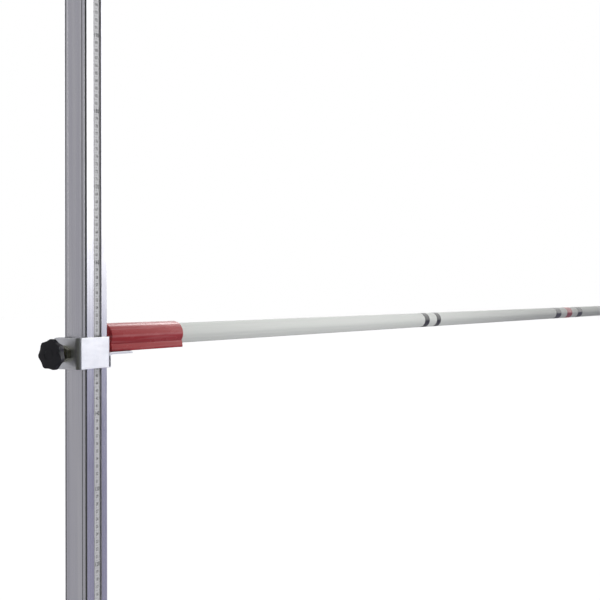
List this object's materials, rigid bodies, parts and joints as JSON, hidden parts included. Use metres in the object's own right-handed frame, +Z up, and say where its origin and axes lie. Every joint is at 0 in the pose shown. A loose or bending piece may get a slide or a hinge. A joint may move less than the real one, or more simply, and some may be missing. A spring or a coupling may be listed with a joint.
{
  "type": "high jump standards",
  "caption": "Free-standing high jump uprights with levelling feet, clamped sliding supports and the round crossbar that rests between them.",
  "frame": {"origin": "on the floor, midway between the two uprights", "axes": "+X along the crossbar, away from the upright that the picture shows; -Y the face with the tape, towards the jumper; +Z up"},
  "size_m": [4.932, 0.626, 2.455],
  "materials": {
    "anodised_aluminium": "satin anodised extrusion",
    "black_plastic": "moulded",
    "measuring_tape": "printed scale with plain numbers",
    "base_enamel": "powder coat",
    "zinc_steel": "zinc plated",
    "zinc_sheet": "zinc plated sheet",
    "pressure_pad": "machined",
    "knob_plastic": "glossy moulded",
    "foot_rubber": "moulded",
    "glass_fibre": "pale tube with black and red bands",
    "red_end_piece": "moulded"
  },
  "bodies": {
    "left_standard": {"left_upright": "anodised_aluminium", "left_upright_cap": "black_plastic", "left_height_tape": "measuring_tape", "left_cross_tube": "base_enamel", "left_spine_tube": "base_enamel", "left_post_socket": "base_enamel", "left_base_gussets": "base_enamel", "left_tube_end_caps": "black_plastic", "left_foot_bushes": "zinc_steel", "left_foot_lock_nuts": "zinc_steel", "left_socket_bolts": "zinc_steel", "left_socket_nuts": "zinc_steel"},
    "left_slider": {"left_sleeve": "zinc_sheet", "left_weld_nut": "zinc_steel", "left_bar_support": "zinc_sheet"},
    "left_pressure_pad": {"left_clamp_pad": "pressure_pad"},
    "left_knob": {"left_clamp_screw": "zinc_steel", "left_star_knob": "knob_plastic"},
    "left_front_foot": {"left_front_foot_pad": "foot_rubber", "left_front_foot_screw": "zinc_steel"},
    "left_back_foot": {"left_back_foot_pad": "foot_rubber", "left_back_foot_screw": "zinc_steel"},
    "left_outer_foot": {"left_outer_foot_pad": "foot_rubber", "left_outer_foot_screw": "zinc_steel"},
    "right_standard": {"right_upright": "anodised_aluminium", "right_upright_cap": "black_plastic", "right_height_tape": "measuring_tape", "right_cross_tube": "base_enamel", "right_spine_tube": "base_enamel", "right_post_socket": "base_enamel", "right_base_gussets": "base_enamel", "right_tube_end_caps": "black_plastic", "right_foot_bushes": "zinc_steel", "right_foot_lock_nuts": "zinc_steel", "right_socket_bolts": "zinc_steel", "right_socket_nuts": "zinc_steel"},
    "right_slider": {"right_sleeve": "zinc_sheet", "right_weld_nut": "zinc_steel", "right_bar_support": "zinc_sheet"},
    "right_pressure_pad": {"right_clamp_pad": "pressure_pad"},
    "right_knob": {"right_clamp_screw": "zinc_steel", "right_star_knob": "knob_plastic"},
    "right_front_foot": {"right_front_foot_pad": "foot_rubber", "right_front_foot_screw": "zinc_steel"},
    "right_back_foot": {"right_back_foot_pad": "foot_rubber", "right_back_foot_screw": "zinc_steel"},
    "right_outer_foot": {"right_outer_foot_pad": "foot_rubber", "right_outer_foot_screw": "zinc_steel"},
    "crossbar": {"crossbar_tube": "glass_fibre", "left_bar_end": "red_end_piece", "right_bar_end": "red_end_piece"}
  },
  "joints": [
    {"name": "left_slider_height", "type": "slide", "parent": "left_standard", "child": "left_slider", "axis": [0, 0, 1], "range_m": [-0.9, 0.9]},
    {"name": "left_pad_press", "type": "slide", "parent": "left_slider", "child": "left_pressure_pad", "axis": [-1, 0, 0], "range_m": [0, 0.00263]},
    {"name": "left_knob_turn", "type": "hinge", "parent": "left_pressure_pad", "child": "left_knob", "pos_m": [-2.0725, 0, 1.4805], "axis": [-1, 0, 0], "range_deg": [0, 540]},
    {"name": "left_front_foot_level", "type": "slide", "parent": "left_standard", "child": "left_front_foot", "axis": [0, 0, -1], "range_m": [0, 0.018]},
    {"name": "left_back_foot_level", "type": "slide", "parent": "left_standard", "child": "left_back_foot", "axis": [0, 0, -1], "range_m": [0, 0.018]},
    {"name": "left_outer_foot_level", "type": "slide", "parent": "left_standard", "child": "left_outer_foot", "axis": [0, 0, -1], "range_m": [0, 0.018]},
    {"name": "right_slider_height", "type": "slide", "parent": "right_standard", "child": "right_slider", "axis": [0, 0, 1], "range_m": [-0.9, 0.9]},
    {"name": "right_pad_press", "type": "slide", "parent": "right_slider", "child": "right_pressure_pad", "axis": [1, 0, 0], "range_m": [0, 0.00263]},
    {"name": "right_knob_turn", "type": "hinge", "parent": "right_pressure_pad", "child": "right_knob", "pos_m": [2.0725, 0, 1.4805], "axis": [1, 0, 0], "range_deg": [0, 540]},
    {"name": "right_front_foot_level", "type": "slide", "parent": "right_standard", "child": "right_front_foot", "axis": [0, 0, -1], "range_m": [0, 0.018]},
    {"name": "right_back_foot_level", "type": "slide", "parent": "right_standard", "child": "right_back_foot", "axis": [0, 0, -1], "range_m": [0, 0.018]},
    {"name": "right_outer_foot_level", "type": "slide", "parent": "right_standard", "child": "right_outer_foot", "axis": [0, 0, -1], "range_m": [0, 0.018]},
    {"name": "crossbar_lift", "type": "slide", "parent": "left_slider", "child": "crossbar", "axis": [0, 0, 1], "range_m": [0, 0.12]},
    {"name": "right_standard_spacing", "type": "slide", "parent": "left_standard", "child": "right_standard", "axis": [1, 0, 0], "range_m": [-0.008, 0.016]}
  ],
  "couplings": [
    {"joint": "left_knob_turn", "follows": "left_pad_press", "rad_per_m": 3590.4},
    {"joint": "right_knob_turn", "follows": "right_pad_press", "rad_per_m": 3590.4},
    {"joint": "right_slider_height", "follows": "left_slider_height", "ratio": 1}
  ]
}
